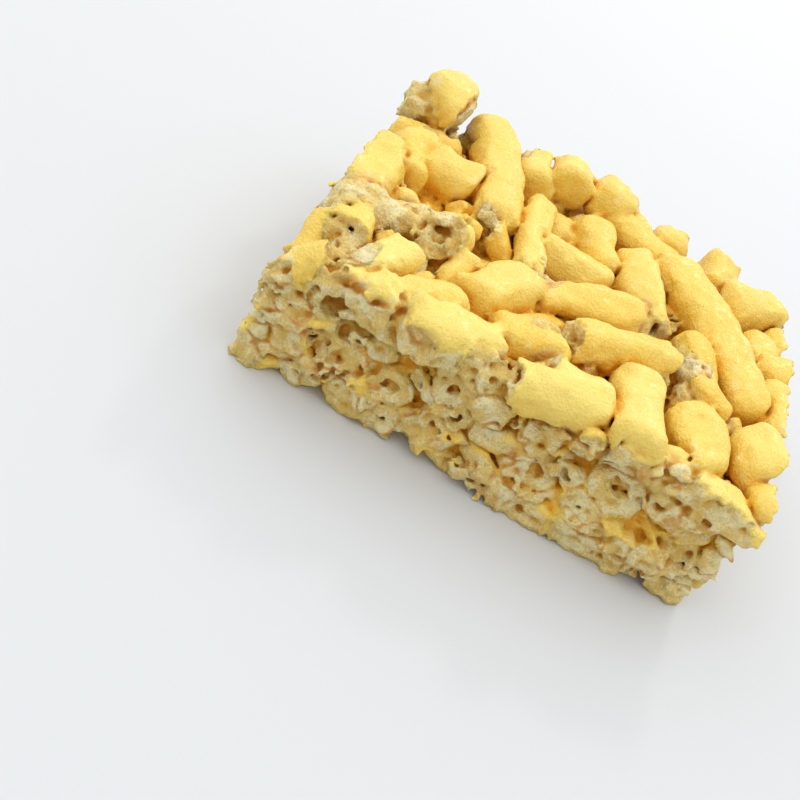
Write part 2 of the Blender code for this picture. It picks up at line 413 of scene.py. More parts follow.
def scattered_strip(draw, height, length):
    """A strip drawn at random for one layer."""
    x = draw.uniform(-1, 1) * (LENGTH / 2 + PAST_THE_CUT)
    y = draw.uniform(-1, 1) * (WIDTH / 2 + PAST_THE_CUT)
    z = height + draw.uniform(-1, 1) * LAYER_UNEVENNESS
    width = STRIP_WIDTH * draw.uniform(*WIDTH_RANGE)
    heading = draw.uniform(0, 180)
    tilt = draw.uniform(-1, 1) * LARGEST_TILT
    return Strip(x, y, z, heading, tilt, length * draw.uniform(*LENGTH_RANGE), width)


def lower_strips(draw, shown):
    """The layers under the top one, filled at random round the strips that have places of their own."""
    made = []
    for height in LAYER_HEIGHTS:
        layer = []
        for length in STRIP_LENGTHS:
            for _ in range(TRIES_PER_LENGTH):
                strip = scattered_strip(draw, height, length)
                if fits(strip, layer) and fits(strip, shown) and not in_front_hollow(strip):
                    layer.append(strip)
        made.append(layer)
    return made


class Grid:
    """Points on a regular grid over the bar, with a signed distance at each: below 0 is dough."""

    def __init__(self):
        low = np.array((-LENGTH / 2 - MARGIN, -WIDTH / 2 - MARGIN, -MARGIN))
        high = np.array((LENGTH / 2 + MARGIN, WIDTH / 2 + MARGIN, HEIGHT))
        self.low = low
        self.shape = tuple(int(n) for n in np.ceil((high - low) / VOXEL) + 1)
        self.axes = [low[k] + VOXEL * np.arange(self.shape[k]) for k in range(3)]
        self.distance = np.full(self.shape, FAR, np.float32)
        self.nearest = np.full(self.shape, -1, np.int16)
        self.skin = np.full(self.shape, FAR, np.float32)
        self.next_skin = np.full(self.shape, 2 * FAR, np.float32)

    def near(self, low, high):
        """The slices that cover a box."""
        first = np.maximum(np.floor((np.array(low) - self.low) / VOXEL).astype(int), 0)
        last = np.minimum(np.ceil((np.array(high) - self.low) / VOXEL).astype(int) + 1, self.shape)
        return tuple(slice(int(a), int(b)) for a, b in zip(first, last))

    def points(self, part):
        """X, Y and Z over some slices, ready to combine."""
        x, y, z = (self.axes[k][part[k]].astype(np.float32) for k in range(3))
        return x[:, None, None], y[None, :, None], z[None, None, :]


def spread(lattice, axis, count, step):
    """A lattice with more points along one axis, on smooth curves between its own."""
    place = np.arange(count) * step + 1
    first = np.floor(place).astype(int)
    f = (place - first).astype(np.float32)
    weights = ((1 - f) ** 3, 3 * f ** 3 - 6 * f ** 2 + 4, -3 * f ** 3 + 3 * f ** 2 + 3 * f + 1, f ** 3)
    shape = [1, 1, 1]
    shape[axis] = count
    total = 0
    for k, weight in enumerate(weights):
        total = total + np.take(lattice, first + k - 1, axis=axis) * (weight / 6).reshape(shape)
    return total


def noise(grid, size, seed):
    """Smooth noise over the grid, mostly between -1 and 1, whose lumps are about size apart."""
    draw = np.random.default_rng(seed)
    step = VOXEL / size
    lattice = draw.uniform(-2.6, 2.6, [int(n * step) + 5 for n in grid.shape]).astype(np.float32)
    for axis in range(3):
        lattice = spread(lattice, axis, grid.shape[axis], step)
    return lattice


def lumps(grid, sizes, seed):
    """Noise of several sizes in one."""
    return sum(height * noise(grid, size, seed + k) for k, (size, height) in enumerate(sizes))


def smooth_least(a, b, reach):
    """The lesser of two distances, with a fillet."""
    blend = np.maximum(reach - np.abs(a - b), 0) / reach
    return np.minimum(a, b) - blend * blend * reach / 4


def smooth_most(a, b, reach):
    """The greater of two distances, with a rounded edge."""
    return -smooth_least(-a, -b, reach)


def knife_distance(x, y, z):
    """How far a point is outside the four cuts."""
    lean = KNIFE_LEAN * np.maximum(z, 0) / KNIFE_TOP
    return np.maximum(np.abs(x) - LENGTH / 2 + lean, np.abs(y) - WIDTH / 2 + lean)


def strip_box(strip):
    """A box round a strip, with room for its lumps."""
    along = np.abs(np.array(direction(strip)))
    reach = along * strip.length / 2 + strip.width / 2 + FILLET + LUMP_ROOM
    middle = np.array((strip.x, strip.y, strip.z))
    return middle - reach, middle + reach


def strip_distance(strip, looks, draw, x, y, z, bumps, tears):
    """Distances from a strip's surface and skin, how far out its section and past its torn ends."""
    along = direction(strip)
    across = along.cross(Vector((0, 0, 1))).normalized()
    up = across.cross(along)
    rel = (x - strip.x, y - strip.y, z - strip.z)
    t = sum(r * float(a) for r, a in zip(rel, along))
    u = sum(r * float(a) for r, a in zip(rel, across))
    v = sum(r * float(a) for r, a in zip(rel, up))
    half = strip.length / 2
    share = t / half
    u = u - draw.uniform(-1, 1) * BEND * strip.length * (share * share - BEND_CROSSES)
    v = v + draw.uniform(0, LARGEST_SAG) * BEND * strip.length * (share * share - BEND_CROSSES)
    swell = 1 + draw.uniform(-1, 1) * TAPER * share
    swell = swell + SWELL * np.cos(share * draw.uniform(*SWELL_WAVES) + draw.uniform(*SWELL_STARTS))
    radius = strip.width / 2 * swell
    twist = draw.uniform(-LARGEST_TWIST, LARGEST_TWIST)
    turned = (u * math.cos(twist) + v * math.sin(twist), v * math.cos(twist) - u * math.sin(twist))
    ring = np.abs(turned[0]) ** SQUARENESS + np.abs(turned[1] / STRIP_FLATNESS) ** SQUARENESS
    ring = ring ** (1 / SQUARENESS)
    side = ring - radius + bumps
    slant = t + draw.uniform(-1, 1) * END_SLANT * u
    surface = side
    skin = side
    past = -half
    for sign, name in ((-1, "torn-first"), (1, "torn-last")):
        rounding = draw.uniform(*END_ROUNDING) * strip.width / 2
        torn = name in looks or "torn" in looks or "bare" in looks
        if torn:
            rounding = TORN_ROUNDING
        tip = sign * slant - half + (TORN_ROUGHNESS * tears if torn else END_ROUGHNESS * bumps)
        outer = np.hypot(np.maximum(side + rounding, 0), np.maximum(tip + rounding, 0))
        whole = outer + np.minimum(np.maximum(side, tip) + rounding, 0) - rounding
        surface = np.maximum(surface, whole)
        if torn:
            past = np.maximum(past, tip)
        else:
            skin = np.maximum(skin, whole)
    if "bare" in looks:
        skin = skin - BARE_DEPTH
    return surface, skin, ring, past


def add_strip(grid, number, strip, looks, draw, fields):
    """Fuses one strip to what the grid holds, cut where the knives pass."""
    part = grid.near(*strip_box(strip))
    if any(s.stop <= s.start for s in part):
        return
    x, y, z = grid.points(part)
    bumps, tears = fields["skin"][part], fields["cut"][part]
    shape, skin, ring, past = strip_distance(strip, looks, draw, x, y, z, bumps, tears)
    pressed = fields["underside"][part] - z
    skin = np.maximum(skin, pressed)
    breaks = draw.uniform(-1, 1) * BREAKS_OFF - PUSHED_ASIDE * ("uncut" in looks)
    knife = knife_distance(x, y, z) + fields["cut"][part] + breaks
    shape = smooth_most(np.maximum(shape, pressed), knife, CUT_BLUNTNESS)
    hollowed = draw.random() < HOLLOW_SHARE and "solid" not in looks
    if hollowed or "ring" in looks:
        radius = draw.uniform(*HOLLOW_RADIUS) * strip.width / STRIP_WIDTH
        hollow = radius * (1 + HOLLOW_UNEVENNESS * fields["cut"][part]) - ring
        hollow = np.minimum(hollow, np.maximum(knife, past) + HOLLOW_DEPTH)
        shape = smooth_most(shape, hollow, CUT_BLUNTNESS)
    closest = grid.skin[part]
    grid.nearest[part] = np.where(skin < closest, number, grid.nearest[part])
    grid.next_skin[part] = np.minimum(grid.next_skin[part], np.maximum(closest, skin))
    grid.skin[part] = np.minimum(closest, skin)
    grid.distance[part] = smooth_least(grid.distance[part], shape, FILLET)


def add_core(grid, fields):
    """Fuses the rough core under the strips."""
    x, y, z = grid.points((slice(None),) * 3)
    sides = knife_distance(x, y, z) + CORE_INSET
    core = np.maximum(np.maximum(sides, z - CORE_TOP), CORE_BOTTOM - z)
    core = core + CORE_ROUGHNESS * fields["cut"] * CORE_LUMPS + fields["skin"]
    grid.distance = smooth_least(grid.distance, core, FILLET).astype(np.float32)


def part_strips(grid, fields):
    """Opens a groove where two strips meet. Returns how near each point is to such a seam, 0 to 1."""
    seam = np.clip(1 - (grid.next_skin - grid.skin) / SEAM_WIDTH, 0, 1)
    seam = seam * seam * (3 - 2 * seam)
    uneven = np.clip(GROOVE_EVEN + GROOVE_VARIES * fields["cut"], 0, GROOVE_MOST)
    grid.distance += GROOVE_DEPTH * seam * uneven
    return seam


def blurred(values, reach, axes=(0, 1, 2)):
    """Values averaged over a cube, or a square, that runs reach to each side."""
    steps = max(1, round(reach / VOXEL))
    for axis in axes:
        count = values.shape[axis]
        total = np.cumsum(values, axis=axis, dtype=np.float32)
        total = np.concatenate((np.zeros_like(np.take(total, [0], axis)), total), axis)
        ends = np.minimum(np.arange(count) + steps + 1, count)
        starts = np.maximum(np.arange(count) - steps, 0)
        values = (np.take(total, ends, axis) - np.take(total, starts, axis)) / (2 * steps + 1)
    return values


def pebble(grid, part, middle, squash):
    """Distances from the middle of a pebble, measured in its own squashed scale."""
    a, b, c = ((p - m) / s for p, m, s in zip(grid.points(part), middle, squash))
    return np.sqrt(a ** 2 + b ** 2 + c ** 2)


def open_bubbles(grid, draw):
    """Opens the bubbles that the knives cut through."""
    crumb = (grid.skin < -BUBBLES_UNDER_SKIN) & (np.abs(grid.distance) < VOXEL)
    found = np.argwhere(crumb)
    count = int(len(found) * VOXEL * VOXEL / POINTS_PER_SQUARE * BUBBLES_PER_MM2)
    small, large = BUBBLE_RADIUS
    for index in draw.choice(len(found), count, replace=False):
        radius = small + (large - small) * draw.random() ** BUBBLE_SMALLNESS
        middle = grid.low + found[index] * VOXEL + draw.uniform(-BUBBLE_SHIFT, BUBBLE_SHIFT, 3)
        part = grid.near(middle - radius - BUBBLE_ROOM, middle + radius + BUBBLE_ROOM)
        reach = pebble(grid, part, middle, draw.uniform(*BUBBLE_SQUASH, 3))
        grid.distance[part] = smooth_most(grid.distance[part], radius - reach, BUBBLE_BLUNTNESS)


def open_sponge(grid):
    """Breaks bare crumb up into pores of uneven shape."""
    under = grid.distance - grid.skin
    bare = np.clip((under - SPONGE_STARTS) / (SPONGE_FULL - SPONGE_STARTS), 0, 1)
    for k, (size, least, depth) in enumerate(SPONGE):
        grid.distance += depth * bare * np.clip(noise(grid, size, SPONGE_SEED + k) - least, 0, 1)


def column(grid, x, y):
    """The place in the grid of the column over a spot."""
    return tuple(int(round((p - low) / VOXEL)) for p, low in zip((x, y), grid.low))


def spot_by_a_cut(draw, place, inset, off_corner):
    """A spot beside one of the cuts, which is a long one more often."""
    side = draw.choice((-1, 1))
    if draw.random() < LENGTH / (LENGTH + WIDTH):
        return place * (LENGTH / 2 - off_corner), side * (WIDTH / 2 - inset)
    return side * (LENGTH / 2 - inset), place * (WIDTH / 2 - off_corner)


def crumb_spots(draw):
    """Places where crumbs may fall, CRUMB_TRIES for each crumb."""
    spots = []
    for x, y, reach, count in CRUMB_GROUPS:
        for _ in range(count * CRUMB_TRIES):
            spots.append((draw.normal(x, reach / 2), draw.normal(y, reach / 2)))
    for _ in range(EDGE_CRUMBS * CRUMB_TRIES):
        place = draw.uniform(-1, 1)
        inset = abs(draw.normal(0, EDGE_SPREAD)) + EDGE_INSET
        spots.append(spot_by_a_cut(draw, place, inset, OFF_CORNER))
    return spots


def add_crumbs(grid, fields, draw):
    """Drops loose crumbs on the bar, which settle in its hollows."""
    dough = grid.distance < 0
    tops = (grid.shape[2] - 1 - np.argmax(dough[:, :, ::-1], axis=2)) * dough.any(axis=2)
    around = blurred(tops[:, :, None].astype(np.float32), CRUMB_LOOKS_ROUND, (0, 1))[:, :, 0]
    spots = crumb_spots(draw)
    small, large = CRUMB_RADIUS
    for first in range(0, len(spots), CRUMB_TRIES):
        tried = spots[first:first + CRUMB_TRIES]
        lowest = min(tried, key=lambda spot: tops[column(grid, *spot)])
        top = tops[column(grid, *lowest)]
        radius = small + (large - small) * draw.random() ** CRUMB_SMALLNESS
        if top > around[column(grid, *lowest)] - CRUMB_SINKS / VOXEL:
            continue
        middle = np.array((*lowest, grid.low[2] + top * VOXEL)) + (0, 0, radius * CRUMB_LIFT)
        part = grid.near(middle - radius - CRUMB_ROOM, middle + radius + CRUMB_ROOM)
        reach = pebble(grid, part, middle, draw.uniform(*CRUMB_SQUASH, 3))
        crumb = reach - radius * (1 + CRUMB_ROUGHNESS * fields["crumbs"][part])
        grid.distance[part] = np.minimum(grid.distance[part], crumb)
        skin = grid.skin[part]
        grid.skin[part] = np.where(crumb < CRUMB_COLOURS, np.minimum(skin, -CRUMB_DEPTH), skin)


def flood(free, reached):
    """Spreads what is reached through what is free, along each axis in turn, until nothing is added."""
    count = -1
    while reached.sum() != count:
        count = reached.sum()
        for axis in range(3):
            f = np.moveaxis(free, axis, 0)
            r = np.moveaxis(reached, axis, 0)
            for k in range(1, len(r)):
                r[k] |= r[k - 1] & f[k]
            for k in range(len(r) - 2, -1, -1):
                r[k] |= r[k + 1] & f[k]
    return reached


def tidy_hollows(grid):
    """Fills the sealed hollows and drops the loose scraps."""
    outside = np.zeros(grid.shape, bool)
    outside[0] = True
    flood(grid.distance >= 0, outside)
    sealed = (grid.distance >= 0) & ~outside
    grid.distance[sealed] = -VOXEL / 2
    solid = np.zeros(grid.shape, bool)
    wide, deep, high = grid.shape
    solid[wide // 2, deep // 2, high // 3] = True
    flood(grid.distance < 0, solid)
    loose = (grid.distance < 0) & ~solid
    grid.distance[loose] = VOXEL / 2
    return solid


def close_border(grid):
    """Ends the dough inside the grid."""
    for axis in range(3):
        side = np.moveaxis(grid.distance, axis, 0)
        side[:2] = np.maximum(side[:2], VOXEL)
        side[-2:] = np.maximum(side[-2:], VOXEL)


def gaps_to_cuts(x, y):
    """How far inside each of the four cuts a place is, in the order of CUTS."""
    return y + WIDTH / 2, WIDTH / 2 - y, x + LENGTH / 2, LENGTH / 2 - x


def label(piece):
    """A piece's number: 1 more than its place in PIECES."""
    return 1 + PIECES.index(piece)


def piece_labels(grid, strips, solid):
    """For each point of the grid, the number of the piece that it is in, or 0 outside the dough."""
    x, y, z = grid.points((slice(None),) * 3)
    cut = np.stack(np.broadcast_arrays(*gaps_to_cuts(x, y))).argmin(axis=0)
    labels = np.choose(cut, [label(name) for name in CUTS])
    under = np.where(x < 0, label("underside_left"), label("underside_right"))
    labels = np.where(z < UNDERSIDE_Z, under, labels)
    over = np.where(x < THIRD, label("strips_middle"), label("strips_right"))
    over = np.where(x < -THIRD, label("strips_left"), over)
    labels = np.where(z > TOP_Z, over, labels)
    known = grid.nearest >= 0
    labels[known] = np.array([label(kind) for _, kind, _ in strips])[grid.nearest[known]]
    return np.where(solid, labels, 0).astype(np.int8)


def corners(values, cells, offset):
    """The values at one corner of some cells."""
    return values[cells[:, 0] + offset[0], cells[:, 1] + offset[1], cells[:, 2] + offset[2]]


CORNERS = [(a, b, c) for a in (0, 1) for b in (0, 1) for c in (0, 1)]
EDGES = [(p, q) for p in CORNERS for q in CORNERS if sorted(np.subtract(q, p)) == [0, 0, 1]]


def net_points(grid, labels):
    """Cells that several labels meet in, their points, and which of them are hidden in the dough."""
    size = [n - 1 for n in grid.shape]
    low = labels[:-1, :-1, :-1].copy()
    high = low.copy()
    for a, b, c in CORNERS[1:]:
        other = labels[a:a + size[0], b:b + size[1], c:c + size[2]]
        low = np.minimum(low, other)
        high = np.maximum(high, other)
    cells = np.argwhere(low != high)
    hidden = low[tuple(cells.T)] > 0
    total = np.zeros((len(cells), 3))
    count = np.zeros(len(cells))
    for p, q in EDGES:
        first = corners(grid.distance, cells, p)
        second = corners(grid.distance, cells, q)
        crossed = (first < 0) != (second < 0)
        place = np.where(crossed, first / np.where(crossed, first - second, 1), 0)
        point = np.array(p) + place[:, None] * (np.array(q) - np.array(p))
        total += point * crossed[:, None]
        count += crossed
    inside = np.full(3, 0.5)
    point = np.where(hidden[:, None], inside, total / np.maximum(count, 1)[:, None])
    return cells, grid.low + (cells + point) * VOXEL, hidden


def net_quads(labels, number):
    """The quads between points with different labels, and the label on each side of them."""
    quads = []
    backs = []
    fronts = []
    for axis in range(3):
        other = [k for k in range(3) if k != axis]
        inner = [slice(1, -1)] * 3
        inner[axis] = slice(0, -1)
        ahead = list(inner)
        ahead[axis] = slice(1, None)
        first = labels[tuple(inner)]
        second = labels[tuple(ahead)]
        places = np.argwhere(first != second) + np.array([0 if k == axis else 1 for k in range(3)])
        step_b = np.eye(3, dtype=int)[other[0]]
        step_c = np.eye(3, dtype=int)[other[1]]
        around = [places, places - step_b, places - step_b - step_c, places - step_c]
        ring = np.stack([number[tuple(p.T)] for p in around], axis=1)
        if axis == 1:
            ring = ring[:, ::-1]
        quads.append(ring)
        backs.append(first[first != second])
        fronts.append(second[first != second])
    return np.concatenate(quads), np.concatenate(backs), np.concatenate(fronts)


def blocks(cells, side):
    """For each cell, the number of the cubic block that it is in, and the first cell of that block."""
    block = cells // side
    key = (block[:, 0] * MOST_BLOCKS + block[:, 1]) * MOST_BLOCKS + block[:, 2]
    _, first, inverse = np.unique(key, return_index=True, return_inverse=True)
    return inverse.ravel(), first


def block_means(number, vectors):
    """The mean of the vectors in each block."""
    totals = [np.bincount(number, vectors[:, k]) for k in range(3)]
    return np.stack(totals, axis=1) / np.bincount(number)[:, None]


def coarsened(grid, cells, points, hidden, normals):
    """For each point, the point that stands for it: one for each block deep inside or on even ground.

    The points that stand for a block of the surface are moved to its middle."""
    stand_in = np.arange(len(cells))
    shown = np.flatnonzero(~hidden)
    number, first = blocks(cells[shown], SURFACE_BLOCK)
    mean = block_means(number, normals[shown])
    middle = block_means(number, points[shown])
    unseen = (mean[:, 2] < POINTS_DOWN) | (mean[:, 1] > POINTS_BACK)
    even = np.linalg.norm(mean, axis=1) > np.where(unseen, EVEN_UNSEEN, EVEN_GROUND)
    merged = even[number]
    stand_in[shown[merged]] = shown[first[number[merged]]]
    points[shown[first[even]]] = middle[even]
    depth = -corners(grid.distance, cells, (0, 0, 0))
    for side, least in COARSE_BLOCKS:
        deep = np.flatnonzero(hidden & (depth > least))
        number, first = blocks(cells[deep], side)
        stand_in[deep] = deep[first[number]]
    return stand_in


def sampled(values, points, grid):
    """Values between the grid's points."""
    place = (points - grid.low) / VOXEL
    place = np.clip(place, 0, np.array(grid.shape) - 1.001)
    first = np.floor(place).astype(int)
    f = place - first
    total = 0
    for a, b, c in CORNERS:
        weight = np.where(a, f[:, 0], 1 - f[:, 0]) * np.where(b, f[:, 1], 1 - f[:, 1])
        weight = weight * np.where(c, f[:, 2], 1 - f[:, 2])
        total = total + weight * corners(values, first, (a, b, c))
    return total


def outward(grid, points):
    """The direction in which the distance grows at some points."""
    slopes = []
    for axis in range(3):
        step = np.zeros(3)
        step[axis] = VOXEL * NORMAL_STEP
        ahead = sampled(grid.distance, points + step, grid)
        behind = sampled(grid.distance, points - step, grid)
        slopes.append(ahead - behind)
    slopes = np.stack(slopes, axis=1)
    return slopes / np.maximum(np.linalg.norm(slopes, axis=1), 1e-6)[:, None]


def settled_normals(points, outer, normals):
    """The normals, but those of the faces themselves where the field's point elsewhere."""
    diagonals = np.cross(points[outer[:, 2]] - points[outer[:, 0]], points[outer[:, 3]] - points[outer[:, 1]])
    total = np.zeros_like(points)
    for corner in range(4):
        for k in range(3):
            total[:, k] += np.bincount(outer[:, corner], diagonals[:, k], len(points))
    total /= np.maximum(np.linalg.norm(total, axis=1), 1e-9)[:, None]
    apart = (total * normals).sum(axis=1) < LEAST_AGREEMENT
    return np.where(apart[:, None], total, normals)


def sound_faces(quads):
    """The quads and triangles that are left of some quads once their points are merged."""
    differs = quads != np.roll(quads, 1, axis=1)
    whole = quads[differs.all(axis=1) & (quads[:, 0] != quads[:, 2]) & (quads[:, 1] != quads[:, 3])]
    three = differs.sum(axis=1) == 3
    threes = quads[three][differs[three]].reshape(-1, 3)
    return unpaired(whole), unpaired(threes[threes[:, 0] != threes[:, 2]])


def unpaired(faces):
    """The faces without those that lie back to back on the same points."""
    _, inverse, count = np.unique(np.sort(faces, axis=1), axis=0, return_inverse=True, return_counts=True)
    return faces[count[inverse.ravel()] == 1]


def fast_mesh(name, points, sizes, loops, normals):
    """A smooth mesh with its own normals, from the size of each face and the points round them all."""
    mesh = bpy.data.meshes.new(name)
    mesh.vertices.add(len(points))
    mesh.vertices.foreach_set("co", (points * MM).astype(np.float32).ravel())
    mesh.loops.add(len(loops))
    mesh.loops.foreach_set("vertex_index", loops.astype(np.int32))
    mesh.polygons.add(len(sizes))
    mesh.polygons.foreach_set("loop_start", np.concatenate(([0], np.cumsum(sizes)[:-1])).astype(np.int32))
    mesh.update(calc_edges=True)
    mesh.shade_smooth()
    mesh.normals_split_custom_set_from_vertices(normals)
    return mesh


def add_attribute(mesh, name, values):
    """A number for each point of a mesh, which the material reads."""
    layer = mesh.attributes.new(name, "FLOAT", "POINT")
    layer.data.foreach_set("value", values.astype(np.float32))


def kind_of(strip, layer):
    """The piece that a strip belongs to."""
    if layer == "low":
        return "underside_left" if strip.x < 0 else "underside_right"
    if layer == "top":
        return "strips_left" if strip.x < -THIRD else "strips_middle" if strip.x < THIRD else "strips_right"
    return CUTS[int(np.argmin(gaps_to_cuts(strip.x, strip.y)))]


def scrap_at(draw, width, x, y, z):
    """A scrap of dough that lies any way round."""
    length = width * draw.uniform(*SCRAP_LENGTHS)
    return Strip(x, y, z, draw.uniform(0, 180), draw.uniform(-1, 1) * SCRAP_TILT, length, width)


def scrap_on_a_cut(draw, width):
    """A scrap of dough at random on one of the four cuts."""
    place = draw.uniform(-1, 1)
    x, y = spot_by_a_cut(draw, place, draw.uniform(*SCRAP_INSET), 0)
    return scrap_at(draw, width, x, y, draw.uniform(width / 2, SCRAP_TOP))


def scrap_on_top(draw, width):
    """A scrap of dough at random between the strips on top."""
    x = draw.uniform(-1, 1) * LENGTH / 2
    y = draw.uniform(-1, 1) * WIDTH / 2
    return scrap_at(draw, width, x, y, draw.uniform(*TOP_SCRAP_Z))


def scraps(draw, placed, widths, tries, scrap_at_random):
    """Short scraps of dough that fill the gaps between the strips."""
    points = [spine(strip) for strip in placed]
    reaches = np.concatenate([np.full(len(p), strip.width) for p, strip in zip(points, placed)])
    points = np.concatenate(points)
    made = []
    for width in widths:
        for _ in range(tries):
            scrap = scrap_at_random(draw, width)
            own = spine(scrap)
            gaps = np.linalg.norm(own[:, None] - points[None], axis=2).min(axis=0)
            if (gaps < (reaches + width) / 2 - SCRAP_PRESSED_IN).any() or in_front_hollow(scrap):
                continue
            made.append(scrap)
            points = np.concatenate((points, own))
            reaches = np.concatenate((reaches, np.full(len(own), width)))
    return made


def all_strips():
    """Every strip that may show, with the piece that it belongs to and its looks."""
    draw = random.Random(SEED)
    top = top_strips()
    lower = front_strips() + [resting_strip()]
    low, *middle = lower_strips(draw, top + lower)
    middle = [strip for layer in middle for strip in layer]
    words = [row[-1] for row in TOP_STRIPS] + [""]
    strips = [(s, kind_of(s, "top"), w) for s, w in zip(top, words)]
    strips += [(s, kind_of(s, "front"), row[-1]) for s, row in zip(lower, FRONT_STRIPS)]
    strips += [(s, kind_of(s, "low"), "") for s in lower[-1:] + low]
    strips += [(s, kind_of(s, "middle"), "") for s in middle]
    placed = top + lower + low + middle
    small = scraps(draw, placed, SCRAP_WIDTHS, SCRAP_TRIES, scrap_on_a_cut)
    strips += [(s, kind_of(s, "scrap"), "torn") for s in small]
    small = scraps(draw, placed + small, TOP_SCRAP_WIDTHS, TOP_SCRAP_TRIES, scrap_on_top)
    strips += [(s, kind_of(s, "top"), draw.choice(TOP_SCRAP_LOOKS)) for s in small]
    return strips


def carve(grid, strips):
    """Lays the strips in the grid and carves them. Returns where the seams are, and what is dough."""
    draw = random.Random(SEED + 1)
    fields = {
        "skin": lumps(grid, SKIN_LUMPS, SKIN_SEED),
        "cut": lumps(grid, CUT_LUMPS, CUT_SEED),
        "underside": lumps(grid, UNDERSIDE_LUMPS, UNDERSIDE_SEED),
        "crumbs": noise(grid, CRUMB_LUMP, CRUMB_SEED),
    }
    for number, (strip, _, looks) in enumerate(strips):
        add_strip(grid, number, strip, looks.split(), draw, fields)
    add_core(grid, fields)
    seam = part_strips(grid, fields)
    open_sponge(grid)
    open_bubbles(grid, np.random.default_rng(SEED + 2))
    add_crumbs(grid, fields, np.random.default_rng(SEED + 4))
    close_border(grid)
    return seam, tidy_hollows(grid)


def marks(grid, strips, seam, solid, cells, points, normals):
    """What the material reads at each point, by name."""
    near = blurred(solid.astype(np.float32), CREASE_REACH)
    wide = blurred(solid.astype(np.float32), RECESS_REACH)
    depth = -sampled(grid.skin, points, grid)
    shade = np.random.default_rng(SEED + 3).uniform(*TINT_RANGE, len(strips) + 1)
    shade[:-1] += [PALER * ("pale" in looks) - DARKER * ("dark" in looks) for _, _, looks in strips]
    return {
        "crumb": np.clip((depth - CRUMB_STARTS) / (CRUMB_FULL - CRUMB_STARTS), 0, 1),
        "crease": sampled(near, points, grid),
        "recess": sampled(wide, points, grid),
        "seam": sampled(seam, points, grid),
        "tint": shade[grid.nearest[tuple(cells.T)]],
        # Painted shade on the faces that turn away from up
        "side_shade": np.clip((SIDE_SHADE_STARTS - normals[:, 2]) / SIDE_SHADE_REACH, 0, 1),
    }


def make_piece(name, quads, points, normals, values):
    """One piece, as an object, from its quads."""
    whole, threes = sound_faces(quads)
    used, loops = np.unique(np.concatenate((whole.ravel(), threes.ravel())), return_inverse=True)
    sizes = np.repeat((4, 3), (len(whole), len(threes)))
    mesh = fast_mesh(name, points[used], sizes, loops.ravel(), normals[used])
    for key, value in values.items():
        add_attribute(mesh, key, value[used])
    piece = bpy.data.objects.new(name, mesh)
    bpy.context.scene.collection.objects.link(piece)
    print(name, "triangles", 2 * len(whole) + len(threes), flush=True)
    return piece


def build_bar():
    """The bar's pieces, as objects."""
    grid = Grid()
    strips = all_strips()
    seam, solid = carve(grid, strips)
    labels = piece_labels(grid, strips, solid)
    cells, points, hidden = net_points(grid, labels)
    number = np.full([n - 1 for n in grid.shape], -1, np.int32)
    number[tuple(cells.T)] = np.arange(len(cells))
    quads, backs, fronts = net_quads(labels, number)
    outer = np.concatenate((quads[fronts == 0], quads[backs == 0][:, ::-1]))
    normals = settled_normals(points, outer, outward(grid, points))
    quads = coarsened(grid, cells, points, hidden, normals)[quads]
    values = marks(grid, strips, seam, solid, cells, points, normals)
    pieces = []
    for name in PIECES:
        mine = np.concatenate((quads[backs == label(name)], quads[fronts == label(name)][:, ::-1]))
        pieces.append(make_piece(name, mine, points, normals, values))
    return pieces


def add_node(tree, kind, **sockets):
    """A shader node with some of its sockets set or linked."""
    node = tree.nodes.new(kind)
    for name, value in sockets.items():
        socket = node.inputs[name.replace("_", " ")]
        if isinstance(value, bpy.types.NodeSocket):
            tree.links.new(value, socket)
        else:
            socket.default_value = value
    return node


def attribute(tree, name):
    """One of the numbers that the mesh carries."""
    node = tree.nodes.new("ShaderNodeAttribute")
    node.attribute_name = name
    return node.outputs["Fac"]


def ramp(tree, value, low, high):
    """A number from 0 to 1 as a value goes from low to high."""
    node = tree.nodes.new("ShaderNodeMapRange")
    node.interpolation_type = "SMOOTHSTEP"
    tree.links.new(value, node.inputs["Value"])
    node.inputs["From Min"].default_value = low
    node.inputs["From Max"].default_value = high
    return node.outputs["Result"]


def mixed(tree, share, first, second):
    """A colour between two others."""
    node = tree.nodes.new("ShaderNodeMix")
    node.data_type = "RGBA"
    slots = {"Factor_Float": share, "A_Color": first, "B_Color": second}
    for socket in node.inputs:
        value = slots.get(socket.identifier)
        if isinstance(value, bpy.types.NodeSocket):
            tree.links.new(value, socket)
        elif value is not None:
            socket.default_value = value
    return [s for s in node.outputs if s.identifier == "Result_Color"][0]


def math_node(tree, operation, first, second):
    """A sum, product and the like of two numbers."""
    node = tree.nodes.new("ShaderNodeMath")
    node.operation = operation
    for socket, value in zip(node.inputs, (first, second)):
        if isinstance(value, bpy.types.NodeSocket):
            tree.links.new(value, socket)
        else:
            socket.default_value = value
    return node.outputs[0]


# Several colours also serve as painted shade: the warm one on the strips' sides, and the amber, pore and
# syrup ones in creases and recesses
GOLD = (0.89, 0.59, 0.08, 1)
PALE_GOLD = (0.92, 0.73, 0.19, 1)
WARM = (0.90, 0.55, 0.05, 1)
AMBER = (0.90, 0.48, 0.035, 1)
CREAM = (0.87, 0.63, 0.185, 1)
WHITE_CRUMB = (0.985, 0.855, 0.475, 1)
PORE_AND_SHADE = (0.86, 0.53, 0.085, 1)
SYRUP_AND_SHADE = (0.70, 0.28, 0.012, 1)

# The noises that colour and roughen the dough, from coarse to fine
BLOTCH = {"Scale": 260.0, "Detail": 3.0}
PORES = {"Scale": 900.0, "Detail": 4.0, "Roughness": 0.7}
GRAIN = {"Scale": 2700.0, "Detail": 2.0, "Roughness": 0.6}

# How high the grain of the skin and of the crumb stands
SKIN_GRAIN = 0.34
CRUMB_GRAIN = 1.35
